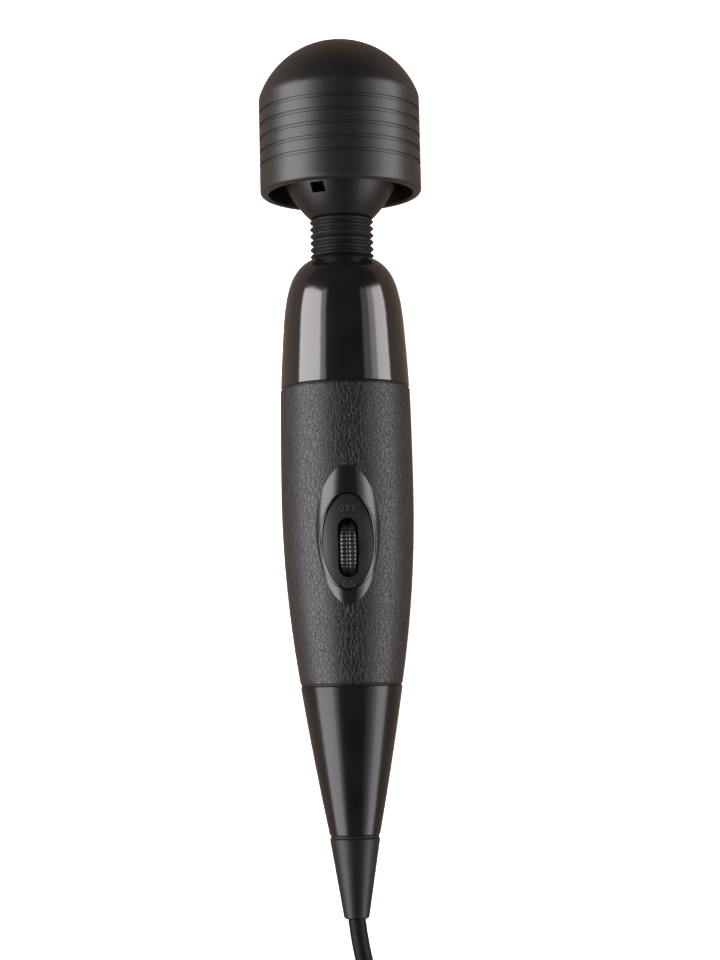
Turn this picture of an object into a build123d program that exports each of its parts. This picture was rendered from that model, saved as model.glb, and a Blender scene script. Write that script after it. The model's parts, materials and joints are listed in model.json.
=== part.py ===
from build123d import *
import os
from math import acos, atan2, cos, degrees, hypot, pi, radians, sin, sqrt, tan

# Corded handheld wand massager, in millimetres.
#
# Every piece of the wand is drawn in the wand's own frame: the axis runs along +Y from the tail end,
# a distance along it is called a station, and the switch faces +Z. Turned outlines are drawn as
# (radius, station) points and revolved about the axis. lay_down() then puts the wand on a table,
# where it rests on the rim of its head and on the belly of its grip. The cord is drawn on the table.

# ---------------------------------------------------------------- driving dimensions
OVERALL = 330.0

DOME_RADIUS = 32.2
HEAD_RADIUS = 30.55
RIM = 270.5
RIM_ROUND = 1.8
SKIRT_BORE = 27.4
SOCKET_RADIUS = 24.5
SOCKET_START = 288.0
SHOULDER_ANGLE = 69.2
BAND_TOP = 306.2
GROOVE_COUNT = 5
GROOVE_TOP = 302.3
GROOVE_PITCH = 5.12
GROOVE_WIDTH = 1.5
GROOVE_DEPTH = 0.5

CORE_END = 261.3
CORE_END_RADIUS = 11.7
CORE_RIM = 300.0
CUP_RADIUS = 20.0

BELLOWS_RADIUS = 12.0
BELLOWS_VALLEY = 10.8
BELLOWS_BORE = 9.4
BELLOWS_TIP = 259.95
BELLOWS_PITCH = 2.62
BELLOWS_RINGS = 6
BELLOWS_START = 234.0
BELLOWS_END = 270.0

COLLAR_START = 196.4
COLLAR_END = 245.0

GRIP_START = 85.8
GRIP_END = 196.0
GRIP_WIDEST = 24.75
GRIP_WIDEST_AT = 157.0
GRIP_TAIL_CURVE = 437.0
GRIP_HEAD_CURVE = 1617.0
SLEEVE = 1.6
SHELL = 2.1

TAIL_START = 30.3
TAIL_START_RADIUS = 9.4
TAIL_END = 85.3
TAIL_END_RADIUS = 18.9
RELIEF_END = 29.5
RELIEF_BIG = 9.3
RELIEF_SMALL = 4.7

CORD_DIAMETER = 6.5
CORD_RADIUS = CORD_DIAMETER / 2

BEZEL_AXIS_HEIGHT = 13.5
PLATE_AT = 137.4
PLATE_HALF_WIDTH = 9.2
PLATE_HALF_LENGTH = 17.2
PLATE_PROUD = 1.0
LETTER_PROUD = 0.2
SLOT_AT = 135.0
SLOT_LENGTH = 20.8
SLOT_WIDTH = 6.5
WHEEL_RADIUS = 13.2
WHEEL_TOP = 26.5
WHEEL_WIDTH = 5.8
WHEEL_RIBS = 56
WHEEL_AXLE_RADIUS = 1.5

MOTOR_SHAFT_RADIUS = 2.5
HEAD_SHAFT_RADIUS = 3.0
RUNNING_GAP = 0.05

# ---------------------------------------------------------------- how it lies on the table
# The table touches the grip's belly arc and the rounded rim of the head.
belly_centre = (GRIP_WIDEST - GRIP_TAIL_CURVE, GRIP_WIDEST_AT)
rim_centre = (HEAD_RADIUS - RIM_ROUND, RIM + RIM_ROUND)
across = rim_centre[0] - belly_centre[0]
along = rim_centre[1] - belly_centre[1]
TILT = acos((GRIP_TAIL_CURVE - RIM_ROUND) / hypot(across, along)) - atan2(along, across)
LIFT = belly_centre[0] * cos(TILT) - belly_centre[1] * sin(TILT) + GRIP_TAIL_CURVE
dome_centre = OVERALL - DOME_RADIUS
FAR_END = dome_centre * cos(TILT) + DOME_RADIUS
NEAR_END = -(RELIEF_SMALL - 0.5) * sin(TILT)
MIDDLE = (FAR_END + NEAR_END) / 2


def lay_down(piece):
    return Pos(0, -MIDDLE, LIFT) * Rot(degrees(TILT), 0, 0) * piece


def laid_point(x, station, height):
    """Where a point of the wand's own frame is once it lies on the table."""
    return (
        x,
        station * cos(TILT) - height * sin(TILT) - MIDDLE,
        station * sin(TILT) + height * cos(TILT) + LIFT,
    )


# ---------------------------------------------------------------- small helpers
def turned(*edges):
    return revolve(make_face(edges), Axis.Y)


def turned_polygon(*points):
    return turned(*Polyline(*points, close=True).edges())


def ring(near, far, outer, inner=0.0):
    return turned_polygon((inner, near), (outer, near), (outer, far), (inner, far))


def bar(x, station, height, size):
    """A box by its centre and its sizes across, along and up."""
    return Pos(x, station, height) * Box(*size)


def rod_up(x, station, bottom, top, radius):
    return Pos(x, station, (bottom + top) / 2) * Cylinder(radius, top - bottom)


def rod_across(left, right, station, height, radius):
    return Pos((left + right) / 2, station, height) * Rot(0, 90, 0) * Cylinder(radius, right - left)


def rod_along(x, height, near, far, radius):
    return Pos(x, (near + far) / 2, height) * Rot(90, 0, 0) * Cylinder(radius, far - near)


def around(count, piece, start=0.0):
    """Copies of a piece, evenly turned about the wand's axis."""
    return [Rot(0, start + 360 * i / count, 0) * piece for i in range(count)]


def group(pieces):
    return Compound(children=[solid for piece in pieces for solid in piece.solids()])


def spring(coil_radius, wire_radius, pitch, near, far):
    """A coil spring on the wand's axis."""
    path = Helix(pitch, far - near, coil_radius)
    section = Plane(origin=path @ 0, z_dir=path % 0) * Circle(wire_radius)
    return Pos(0, near, 0) * Rot(-90, 0, 0) * sweep(section, path=path, is_frenet=True)


def screw(head_radius, head_height, shank_radius, shank_length):
    """A cross-head screw that stands on its tip, head up, with its head's underside at the origin."""
    body = Pos(0, 0, head_height / 2) * Cylinder(head_radius, head_height)
    body += Pos(0, 0, -shank_length / 2) * Cylinder(shank_radius, shank_length)
    recess = Pos(0, 0, head_height) * Box(head_radius * 1.1, 0.5, head_height * 0.9)
    return body - recess - Rot(0, 0, 90) * recess


# ---------------------------------------------------------------- outlines shared by neighbours
def grip_point(station, inset=0.0):
    curve = GRIP_TAIL_CURVE if station < GRIP_WIDEST_AT else GRIP_HEAD_CURVE
    sag = sqrt((curve - inset) ** 2 - (station - GRIP_WIDEST_AT) ** 2)
    return (GRIP_WIDEST - curve + sag, station)


def grip_arcs(near, far, inset=0.0):
    """The grip's outline between two stations, moved in towards the axis by inset."""
    stops = [near, GRIP_WIDEST_AT, far] if near < GRIP_WIDEST_AT < far else [near, far]
    return [
        ThreePointArc(grip_point(a, inset), grip_point((a + b) / 2, inset), grip_point(b, inset))
        for a, b in zip(stops, stops[1:])
    ]


def grip_core(near, far, inset):
    """Everything inside the grip's outline, moved in by inset."""
    start, end = grip_point(near, inset), grip_point(far, inset)
    return turned(
        Line((0, near), start), *grip_arcs(near, far, inset), Line(end, (0, far)), Line((0, far), (0, near))
    )


def collar_outline():
    return Spline(
        (24.1, COLLAR_START + 0.6),
        (22.95, 216.4),
        (20.9, 232.6),
        (16.9, 241.5),
        (12.6, COLLAR_END),
        tangents=((-0.04, 1), (-1, 0.45)),
    )


def bezel_mound():
    """The almond mound round the switch: a spindle sunk into the grip, parallel to the wand's axis."""
    near, far = 109.0, 171.0
    profile = Spline((7.0, near), (10.9, 119.8), (13.9, 136.5), (13.9, 150.0), (12.2, 161.0), (9.6, far))
    closing = Polyline((9.6, far), (0, far), (0, near), (7.0, near))
    return Pos(0, 0, BEZEL_AXIS_HEIGHT) * turned(profile, *closing.edges())


def plate_column(grow=0.0):
    outline = Ellipse(PLATE_HALF_WIDTH + grow, PLATE_HALF_LENGTH + grow)
    return Pos(0, PLATE_AT, 12) * extrude(outline, 24)


# ---------------------------------------------------------------- head
def head_cover():
    angle = radians(SHOULDER_ANGLE)
    top = (0, OVERALL)
    middle = (DOME_RADIUS * sin(angle / 2), dome_centre + DOME_RADIUS * cos(angle / 2))
    shoulder = (DOME_RADIUS * sin(angle), dome_centre + DOME_RADIUS * cos(angle))
    band_top = (HEAD_RADIUS, BAND_TOP)
    skirt_end = (HEAD_RADIUS, RIM + RIM_ROUND)
    rim_outer = (HEAD_RADIUS - RIM_ROUND, RIM)
    inner_dome = 26.0
    ceiling_edge = (SOCKET_RADIUS, dome_centre + sqrt(inner_dome**2 - SOCKET_RADIUS**2))
    ceiling_middle = (inner_dome * sin(0.6), dome_centre + inner_dome * cos(0.6))
    ceiling = (0, dome_centre + inner_dome)
    cover = turned(
        ThreePointArc(top, middle, shoulder),
        TangentArc(shoulder, band_top, tangent=(cos(angle), -sin(angle))),
        Line(band_top, skirt_end),
        TangentArc(skirt_end, rim_outer, tangent=(0, -1)),
        *Polyline(
            rim_outer,
            (SKIRT_BORE + 0.5, RIM),
            (SKIRT_BORE, RIM + 0.5),
            (SKIRT_BORE, SOCKET_START - 3),
            (SOCKET_RADIUS, SOCKET_START),
            ceiling_edge,
        ).edges(),
        ThreePointArc(ceiling_edge, ceiling_middle, ceiling),
        Line(ceiling, top),
    )
    floor = HEAD_RADIUS - GROOVE_DEPTH
    for i in range(GROOVE_COUNT):
        high = GROOVE_TOP - i * GROOVE_PITCH
        low = high - GROOVE_WIDTH
        outside = HEAD_RADIUS + 1
        cut = ((outside, high), (floor, high - 0.1), (floor, low + 0.4), (outside, low - 0.7))
        cover -= turned_polygon(*cut)
    return cover


def core_outline():
    return ThreePointArc((CORE_END_RADIUS, CORE_END), (17.4, 268.0), (21.7, 276.0))


def head_core():
    outer = core_outline()
    core = turned(
        outer,
        *Polyline(
            outer @ 1,
            (SOCKET_RADIUS, SOCKET_START),
            (SOCKET_RADIUS, CORE_RIM),
            (CUP_RADIUS, CORE_RIM),
            (CUP_RADIUS, 289.0),
            (9.5, 287.0),
            (9.5, 281.0),
            (6.5, 281.0),
            (6.5, 278.0),
            (13.5, 275.0),
            (13.5, 270.5),
            (12.6, 268.5),
            (12.6, 264.6),
            (BELLOWS_VALLEY, 264.0),
            (BELLOWS_VALLEY, CORE_END),
            outer @ 0,
        ).edges(),
    )
    window = Pos(0, 270.2, 16) * Box(5.4, 3.6, 9)
    for turn in (-27, 153):
        core -= Rot(0, turn, 0) * window
    for hole in around(4, rod_along(0, 22.2, 292, CORE_RIM, 0.9), 45):
        core -= hole
    return core


def head_core_lid():
    lid = turned_polygon(
        (9.5, 301.0),
        (9.5, 307.0),
        (0, 307.0),
        (0, 308.5),
        (12.0, 308.5),
        (12.0, 303.0),
        (24.3, 303.0),
        (24.3, CORE_RIM),
        (8.0, CORE_RIM),
        (8.0, 301.0),
    )
    for hole in around(4, rod_along(0, 22.2, CORE_RIM, 303, 1.2), 45):
        lid -= hole
    return lid


def head_lid_screws():
    one = Pos(0, 303, 22.2) * Rot(-90, 0, 0) * screw(2.0, 1.6, 0.9, 9.0)
    return group(around(4, one, 45))


BALL_COUNT = 8


def outer_race(near, far, outer, ball_circle, ball):
    race = ring(near, far, outer, ball_circle + 0.55 * ball)
    return race - track(near, far, ball_circle, ball)


def inner_race(near, far, bore, ball_circle, ball):
    race = ring(near, far, ball_circle - 0.55 * ball, bore)
    return race - track(near, far, ball_circle, ball)


def track(near, far, ball_circle, ball):
    groove = Circle(ball + RUNNING_GAP).face().moved(Location((ball_circle, (near + far) / 2, 0)))
    return revolve(groove, Axis.Y)


def balls(near, far, ball_circle, ball):
    return around(BALL_COUNT, Pos(ball_circle, (near + far) / 2, 0) * Sphere(ball))


HEAD_BEARINGS = ((281.0, 287.0), (301.0, 307.0))
HEAD_BALL_CIRCLE = 6.3
HEAD_BALL = 1.6


def head_bearings():
    races = [outer_race(a, b, 9.5, HEAD_BALL_CIRCLE, HEAD_BALL) for a, b in HEAD_BEARINGS]
    rolling = [ball for a, b in HEAD_BEARINGS for ball in balls(a, b, HEAD_BALL_CIRCLE, HEAD_BALL)]
    return group(races + rolling)


def head_bearing_inner_races():
    return group([inner_race(a, b, HEAD_SHAFT_RADIUS, HEAD_BALL_CIRCLE, HEAD_BALL) for a, b in HEAD_BEARINGS])


def eccentric_shaft():
    shaft = ring(275.5, 306.6, HEAD_SHAFT_RADIUS)
    for near in (287.2, 299.8):
        shaft -= ring(near, near + 0.8, HEAD_SHAFT_RADIUS + 1, HEAD_SHAFT_RADIUS - 0.4)
    return shaft


def eccentric_weight():
    weight = ring(289.6, 298.6, 18.4, HEAD_SHAFT_RADIUS) - bar(0, 294, 13.5, (60, 20, 21))
    weight += ring(289.6, 298.6, 6.5, HEAD_SHAFT_RADIUS)
    return weight - rod_up(0, 294.1, HEAD_SHAFT_RADIUS, 7, 1.5)


def weight_set_screw():
    screw_body = rod_up(0, 294.1, HEAD_SHAFT_RADIUS, 6.2, 1.5)
    return screw_body - bar(0, 294.1, 6.0, (1.2, 1.2, 1.6))


def shaft_clips():
    gap = bar(0, 294, 3.5, (2.4, 20, 5))
    return group([ring(near, near + 0.8, 4.4, HEAD_SHAFT_RADIUS - 0.4) - gap for near in (287.2, 299.8)])


def head_drive_coupling():
    hub = ring(269.0, 280.5, 5.2, FLEX_RADIUS + RUNNING_GAP)
    hub -= ring(275.5, 280.5, HEAD_SHAFT_RADIUS)
    return hub - rod_up(0, 278.5, HEAD_SHAFT_RADIUS, 6, 0.9)


# ---------------------------------------------------------------- neck
FLEX_RADIUS = 2.4


def neck_bellows():
    points = [(BELLOWS_BORE, BELLOWS_START), (BELLOWS_VALLEY, BELLOWS_START)]
    first_tip = BELLOWS_TIP - (BELLOWS_RINGS - 1) * BELLOWS_PITCH
    points.append((BELLOWS_VALLEY, first_tip - BELLOWS_PITCH / 2))
    for i in range(BELLOWS_RINGS):
        tip = first_tip + i * BELLOWS_PITCH
        points.append((BELLOWS_RADIUS, tip - 0.2))
        points.append((BELLOWS_RADIUS, tip + 0.2))
        points.append((BELLOWS_VALLEY, tip + BELLOWS_PITCH / 2))
    points += [(BELLOWS_VALLEY, BELLOWS_END), (BELLOWS_BORE, BELLOWS_END)]
    return turned_polygon(*points)


def neck_support_spring():
    return spring(7.9, 0.7, 3.4, 236.0, 268.0)


def flexible_drive_shaft():
    return ring(227.0, 275.0, FLEX_RADIUS)


def clamp_ring(near):
    band = ring(near, near + 3, 11.8, BELLOWS_VALLEY)
    ear = bar(0, near + 1.5, 12.0, (2.4, 3, 1.0))
    return band + ear


def lower_neck_clamp():
    return clamp_ring(235.5)


def upper_neck_clamp():
    return clamp_ring(265.0)


def motor_drive_coupling():
    hub = ring(220.0, 233.0, 5.2, FLEX_RADIUS + RUNNING_GAP)
    hub -= ring(220.0, 226.0, MOTOR_SHAFT_RADIUS)
    return hub - rod_up(0, 222.5, MOTOR_SHAFT_RADIUS, 6, 0.9)


# ---------------------------------------------------------------- handle casings
def front_collar():
    outer = collar_outline()
    foot = 24.1
    inner = Spline((21.7, 206.0), (20.7, 216.4), (18.6, 230.0), (14.2, 238.0), tangents=((-0.02, 1), (-1, 1)))
    return turned(
        outer,
        *Polyline(
            outer @ 1, (11.6, COLLAR_END), (BELLOWS_VALLEY, 244.2), (BELLOWS_VALLEY, 240.5), (13.0, 240.5),
            inner @ 1
        ).edges(),
        inner,
        *Polyline(inner @ 0, (21.7, COLLAR_START), (foot - 0.6, COLLAR_START), outer @ 0).edges(),
    )


BOSSES = [(x, station) for station, x in ((93.0, 9.5), (116.0, 14.2))]
BOSSES += [(-x, station) for x, station in BOSSES]
BOSS_RADIUS = 2.6


def body_shell():
    near, far = GRIP_START, GRIP_END
    shell = grip_core(near, far, SLEEVE)
    shell += ring(far, 206.0, 21.7)
    shell += ring(76.0, near, 16.2)
    shell -= grip_core(88.0, 194.0, SLEEVE + SHELL)
    shell -= ring(194.0, 206.0, 19.8)
    shell -= ring(76.0, 88.0, 14.4)
    cavity = grip_core(88.0, 194.0, SLEEVE + SHELL)
    for x, station in BOSSES:
        shell += rod_up(x, station, -20, 20, BOSS_RADIUS) & cavity
        shell -= rod_up(x, station, -30, 14, 1.0)
        shell -= rod_up(x, station, -30, -9.5, 2.1)
    slot = Pos(0, SLOT_AT, 12) * extrude(Rot(0, 0, 90) * SlotOverall(SLOT_LENGTH + 8, SLOT_WIDTH + 1), 20)
    return shell - slot


def half(solid, side):
    return solid & bar(0, 140, side * 50, (200, 200, 100))


def body_shell_upper():
    return half(body_shell(), 1)


def body_shell_lower():
    return half(body_shell(), -1)


def body_screws():
    one = Rot(180, 0, 0) * screw(2.0, 1.4, 1.0, 18.0)
    return group([Pos(x, station, -9.5) * one for x, station in BOSSES])


def grip_sleeve():
    near, far, round_off = GRIP_START, GRIP_END, 0.6
    low, high = grip_point(near + round_off), grip_point(far - round_off)
    sleeve = turned(
        *Polyline(grip_point(near, SLEEVE), (low[0] - round_off, near), low).edges(),
        *grip_arcs(near + round_off, far - round_off),
        *Polyline(high, (high[0] - round_off, far), grip_point(far, SLEEVE)).edges(),
        *grip_arcs(near, far, SLEEVE),
    )
    return sleeve - (bezel_mound() & bar(0, 140, 30, (60, 120, 40)))


def tail_housing():
    start, end = (TAIL_START_RADIUS, TAIL_START + 0.5), (TAIL_END_RADIUS, TAIL_END - 0.5)
    outer = ThreePointArc(start, (14.45, 57.8), end)
    inner = ThreePointArc((8.3, 36.5), (12.35, 57.8), (16.2, 76.0))
    return turned(
        outer,
        *Polyline(outer @ 1, (TAIL_END_RADIUS - 0.5, TAIL_END), (16.2, TAIL_END), inner @ 1).edges(),
        inner,
        *Polyline(inner @ 0, (7.0, 33.5), (7.0, TAIL_START), (TAIL_START_RADIUS - 0.5, TAIL_START),
                  outer @ 0).edges(),
    )


def strain_relief():
    edge = 0.5
    return turned_polygon(
        (CORD_RADIUS, 0),
        (RELIEF_SMALL - edge, 0),
        (RELIEF_SMALL, edge),
        (RELIEF_BIG, RELIEF_END - edge),
        (RELIEF_BIG - edge, RELIEF_END),
        (7.0, RELIEF_END),
        (7.0, 33.5),
        (8.1, 36.5),
        (8.1, 39.0),
        (CORD_RADIUS, 39.0),
    )


# ---------------------------------------------------------------- switch
def switch_bezel():
    bezel = bezel_mound() - grip_core(100, 180, SLEEVE)
    flared = extrude(Ellipse(PLATE_HALF_WIDTH, PLATE_HALF_LENGTH), 8, taper=-7)
    bezel -= Pos(0, PLATE_AT, 21.5) * flared
    return bezel - plate_column()


def stroke(x, station, width, length, turn=0.0):
    return Pos(x, station, 20) * Rot(0, 0, turn) * Box(width, length, 16)


def letter_o(x, station, height):
    ring_face = Ellipse(0.36 * height, 0.5 * height) - Ellipse(0.36 * height - 0.3, 0.5 * height - 0.3)
    return [Pos(x, station, 12) * extrude(ring_face, 16)]


def letter_f(x, station, height):
    return [
        stroke(x - 0.45, station, 0.3, height),
        stroke(x + 0.15, station + 0.5 * height - 0.15, 1.5, 0.3),
        stroke(x + 0.0, station + 0.05, 1.2, 0.3),
    ]


def letter_n(x, station, height):
    lean = degrees(atan2(1.4, height))
    return [
        stroke(x - 0.8, station, 0.3, height),
        stroke(x + 0.8, station, 0.3, height),
        stroke(x, station, 0.3, hypot(1.5, height) - 0.3, lean),
    ]


def switch_plate():
    body = grip_core(100, 180, -PLATE_PROUD) - grip_core(100, 180, SLEEVE)
    plate = plate_column() & body
    slot = extrude(Rot(0, 0, 90) * SlotOverall(SLOT_LENGTH, SLOT_WIDTH), 10, taper=-5)
    plate -= Pos(0, SLOT_AT, 20) * slot
    letters = letter_o(-2.2, 149.0, 2.5) + letter_f(0.2, 149.0, 2.5) + letter_f(2.4, 149.0, 2.5)
    letters += letter_o(-1.3, 121.9, 2.4) + letter_n(1.3, 121.9, 2.4)
    skin = grip_core(100, 180, -PLATE_PROUD - LETTER_PROUD) - grip_core(100, 180, -PLATE_PROUD + 0.1)
    for letter in letters:
        plate += letter & skin
    return plate


WHEEL_HEIGHT = WHEEL_TOP - WHEEL_RADIUS


def thumbwheel():
    root = WHEEL_RADIUS - 0.65
    step = 2 * pi / WHEEL_RIBS
    outline = []
    for i in range(WHEEL_RIBS):
        for share, radius in ((-0.36, root), (-0.2, WHEEL_RADIUS), (0.2, WHEEL_RADIUS), (0.36, root)):
            angle = (i + share) * step
            outline.append((radius * cos(angle), radius * sin(angle)))
    ribbed = extrude(make_face(Polyline(*outline, close=True)), WHEEL_WIDTH / 2, both=True)
    bead = WHEEL_WIDTH / 4
    side = WHEEL_RADIUS - 0.8
    left, middle, right = (side, -2 * bead), (side, 0), (side, 2 * bead)
    crowned = revolve(
        make_face(
            [
                ThreePointArc(left, (WHEEL_RADIUS, -bead), middle),
                ThreePointArc(middle, (WHEEL_RADIUS, bead), right),
                *Polyline(right, (0, 2 * bead), (0, -2 * bead), left).edges(),
            ]
        ),
        Axis.Y,
    )
    wheel = Rot(90, 0, 0) * ribbed & crowned
    wheel = Rot(0, 0, 90) * wheel
    recess = rod_across(1.9, 3.5, 0, 0, 10.5) - rod_across(1.9, 3.5, 0, 0, 3.5)
    wheel -= recess + mirror(recess, Plane.YZ)
    wheel -= rod_across(-4, 4, 0, 0, WHEEL_AXLE_RADIUS)
    return Pos(0, SLOT_AT, WHEEL_HEIGHT) * wheel


def wheel_axle():
    return rod_across(-6.0, 8.0, SLOT_AT, WHEEL_HEIGHT, WHEEL_AXLE_RADIUS)


BOARD_TOP = -5.4
BOARD_THICKNESS = 1.6


def wheel_bracket():
    bracket = bar(0, SLOT_AT, BOARD_TOP + 0.5, (11.0, 9.0, 1.0))
    for x in (-5.0, 5.0):
        top = WHEEL_HEIGHT + 4
        bracket += bar(x, SLOT_AT, (BOARD_TOP + top) / 2, (1.0, 9.0, top - BOARD_TOP))
    return bracket - rod_across(-8, 8, SLOT_AT, WHEEL_HEIGHT, WHEEL_AXLE_RADIUS + RUNNING_GAP)


def speed_control():
    body = rod_across(5.5, 9.5, SLOT_AT, WHEEL_HEIGHT, 4.8)
    body -= rod_across(5.5, 8.5, SLOT_AT, WHEEL_HEIGHT, WHEEL_AXLE_RADIUS + RUNNING_GAP)
    for y in (-3.0, 0.0, 3.0):
        top = WHEEL_HEIGHT - 3
        body += bar(8.6, SLOT_AT + y, (BOARD_TOP + top) / 2, (0.6, 0.8, top - BOARD_TOP))
    return body


# ---------------------------------------------------------------- control board
def control_board():
    board = bar(0, 121.5, BOARD_TOP - BOARD_THICKNESS / 2, (22.0, 49.0, BOARD_THICKNESS))
    board += bar(0, 103.0, BOARD_TOP - BOARD_THICKNESS / 2, (25.0, 4.0, BOARD_THICKNESS))
    for x in (-9.0, 9.0):
        board -= rod_up(x, 101.0, -20, 0, 0.8)
    return board


def suppression_capacitor():
    return bar(-5.5, 110.0, BOARD_TOP + 5.5, (7.0, 15.0, 11.0))


def triac():
    body = bar(6.0, 107.0, BOARD_TOP + 7.0, (10.0, 3.0, 9.0))
    for x in (3.5, 6.0, 8.5):
        body += bar(x, 107.0, BOARD_TOP + 1.3, (0.8, 0.8, 2.6))
    return body


def heat_sink():
    sink = bar(6.0, 109.25, BOARD_TOP + 7.0, (11.0, 1.5, 14.0))
    for x in (1.0, 3.5, 6.0, 8.5, 11.0):
        sink += bar(x, 111.5, BOARD_TOP + 7.0, (0.8, 3.0, 14.0))
    return sink


def terminal_block():
    block = bar(0, 100.0, BOARD_TOP + 3.5, (14.0, 5.0, 7.0))
    for x in (-3.5, 3.5):
        block -= rod_up(x, 100.0, BOARD_TOP + 4, BOARD_TOP + 8, 1.4)
        block -= rod_along(x, BOARD_TOP + 2.5, 97.4, 100.0, 1.0)
    return block


def wire(points, radius, bend):
    path = FilletPolyline(*points, radius=bend)
    return sweep(Plane(origin=path @ 0, z_dir=path % 0) * Circle(radius), path=path)


def internal_wires():
    """Two supply wires from the cord to the terminals, and two motor wires from the board to the brushes."""
    supply, board = BOARD_TOP + 2.5, BOARD_TOP - BOARD_THICKNESS / 2
    wires = []
    for side in (-1, 1):
        x = 3.5 * side
        mains = [(0.4 * x, 78, 0), (0.5 * x, 84, 0), (x, 90, supply), (x, 99.8, supply)]
        wires.append(wire(mains, 0.95, 2.0))
        x = 9.0 * side
        to_motor = [(x, 146, board), (x, 150, board), (1.5 * x, 153.5, 0), (1.61 * x, 157, 0)]
        wires.append(wire(to_motor, 0.7, 1.0))
    return group(wires)


# ---------------------------------------------------------------- motor
CAN_NEAR, CAN_FAR = 159.0, 205.0
CAN_RADIUS = 18.4
CAN_BORE = 17.2
STACK_NEAR, STACK_FAR = 171.0, 195.0
ARMATURE_RADIUS = 11.0
MOTOR_BEARINGS = ((151.0, 156.0), (206.0, 211.0))
MOTOR_BALL_CIRCLE = 5.25
MOTOR_BALL = 1.3


def motor_can():
    can = ring(CAN_NEAR, CAN_FAR, CAN_RADIUS, CAN_BORE)
    for vent in around(6, bar(0, 200.5, 18, (6, 3, 6))):
        can -= vent
    return can


def stator_core():
    core = ring(STACK_NEAR, STACK_FAR, CAN_BORE, 14.4)
    poles = ring(STACK_NEAR, STACK_FAR, 14.6, ARMATURE_RADIUS + 0.4) & bar(0, 183, 0, (40, 30, 17))
    return core + poles


def field_windings():
    coils = ring(STACK_NEAR - 5, STACK_FAR + 5, 14.3, ARMATURE_RADIUS + 0.6)
    clear_of_poles = bar(0, 183, 0, (40, 60, 17.4))
    return coils - clear_of_poles


def motor_rear_bracket():
    bracket = turned_polygon(
        (3.4, 150.0), (10.0, 150.0), (10.0, 157.0), (CAN_RADIUS, 157.0), (CAN_RADIUS, CAN_NEAR),
        (8.0, CAN_NEAR), (8.0, 151.0), (3.4, 151.0)
    )
    for x in (-14.5, 14.5):
        bracket -= rod_along(x, 0, 156, 160, 1.4)
    return bracket


def motor_front_bracket():
    return turned_polygon(
        (3.4, 212.0), (10.0, 212.0), (10.0, 207.0), (CAN_RADIUS, 207.0), (CAN_RADIUS, CAN_FAR),
        (6.5, CAN_FAR), (6.5, 206.0), (8.0, 206.0), (8.0, 211.0), (3.4, 211.0)
    )


def motor_bearings():
    races = [outer_race(a, b, 8.0, MOTOR_BALL_CIRCLE, MOTOR_BALL) for a, b in MOTOR_BEARINGS]
    rolling = [ball for a, b in MOTOR_BEARINGS for ball in balls(a, b, MOTOR_BALL_CIRCLE, MOTOR_BALL)]
    return group(races + rolling)


def motor_bearing_inner_races():
    sizes = (MOTOR_SHAFT_RADIUS, MOTOR_BALL_CIRCLE, MOTOR_BALL)
    return group([inner_race(a, b, *sizes) for a, b in MOTOR_BEARINGS])


def motor_shaft():
    return ring(150.4, 226.0, MOTOR_SHAFT_RADIUS)


ARMATURE_SLOTS = 12


def armature_slots(outer):
    slot = bar(0, (STACK_NEAR + STACK_FAR) / 2, (6.5 + outer) / 2, (1.8, STACK_FAR - STACK_NEAR, outer - 6.5))
    return around(ARMATURE_SLOTS, slot)


def armature_core():
    core = ring(STACK_NEAR, STACK_FAR, ARMATURE_RADIUS, MOTOR_SHAFT_RADIUS)
    for slot in armature_slots(ARMATURE_RADIUS + 1):
        core -= slot
    return core


def armature_windings():
    winding = ring(STACK_NEAR - 4.5, STACK_NEAR, 9.8, MOTOR_SHAFT_RADIUS)
    winding += ring(STACK_FAR, STACK_FAR + 4.5, 9.8, MOTOR_SHAFT_RADIUS)
    for slot in armature_slots(9.8):
        winding += slot
    return winding


def commutator():
    body = ring(159.5, 166.0, 6.0, MOTOR_SHAFT_RADIUS)
    for gap in around(ARMATURE_SLOTS, bar(0, 162, 6.0, (0.4, 5.6, 1.2))):
        body -= gap
    return body


BRUSH_AT = 162.5


def brush_holders():
    holder = bar(11.6, BRUSH_AT, 0, (9.6, 5.8, 5.0)) - bar(11.0, BRUSH_AT, 0, (10.0, 4.2, 3.4))
    return group([holder, Rot(0, 180, 0) * holder])


def carbon_brushes():
    brush = bar(9.05, BRUSH_AT, 0, (6.0, 4.1, 3.3)) - ring(155, 170, 6.0 + RUNNING_GAP)
    return group([brush, Rot(0, 180, 0) * brush])


def brush_springs():
    path = Helix(0.9, 3.6, 1.3)
    coil = sweep(Plane(origin=path @ 0, z_dir=path % 0) * Circle(0.2), path=path, is_frenet=True)
    one = Pos(12.25, BRUSH_AT, 0) * Rot(0, 90, 0) * coil
    return group([one, Rot(0, 180, 0) * one])


def cooling_fan():
    fan = ring(213.0, 219.5, 4.6, MOTOR_SHAFT_RADIUS) + ring(213.0, 214.2, 15.0, MOTOR_SHAFT_RADIUS)
    for blade in around(9, bar(0, 216.3, 9.4, (1.0, 4.6, 10.4))):
        fan += blade
    return fan


def motor_mount_rings():
    """Rubber rings that fill the gap to the shell, which narrows a little towards the head."""
    sizes = ((163.0, 20.9), (188.0, 20.6))
    return group([ring(near, near + 5.0, outer, CAN_RADIUS) for near, outer in sizes])


# ---------------------------------------------------------------- cord anchor
def cord_anchored_end():
    return ring(0.4, 78.0, CORD_RADIUS)


def cord_clamp():
    """A saddle under the cord and a bar over it."""
    saddle = bar(0, 66.0, -3.4, (19.0, 8.0, 6.2))
    top_bar = bar(0, 66.0, 2.5, (19.0, 6.0, 3.6))
    holes = [rod_up(x, 66.0, -4.2, 6, 1.0) for x in (-7, 7)]
    return group([piece - ring(60, 72, CORD_RADIUS) - holes for piece in (saddle, top_bar)])


def cord_clamp_screws():
    return group([Pos(x, 66.0, 4.3) * screw(1.9, 1.4, 1.0, 4.0) for x in (-7, 7)])


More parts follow.
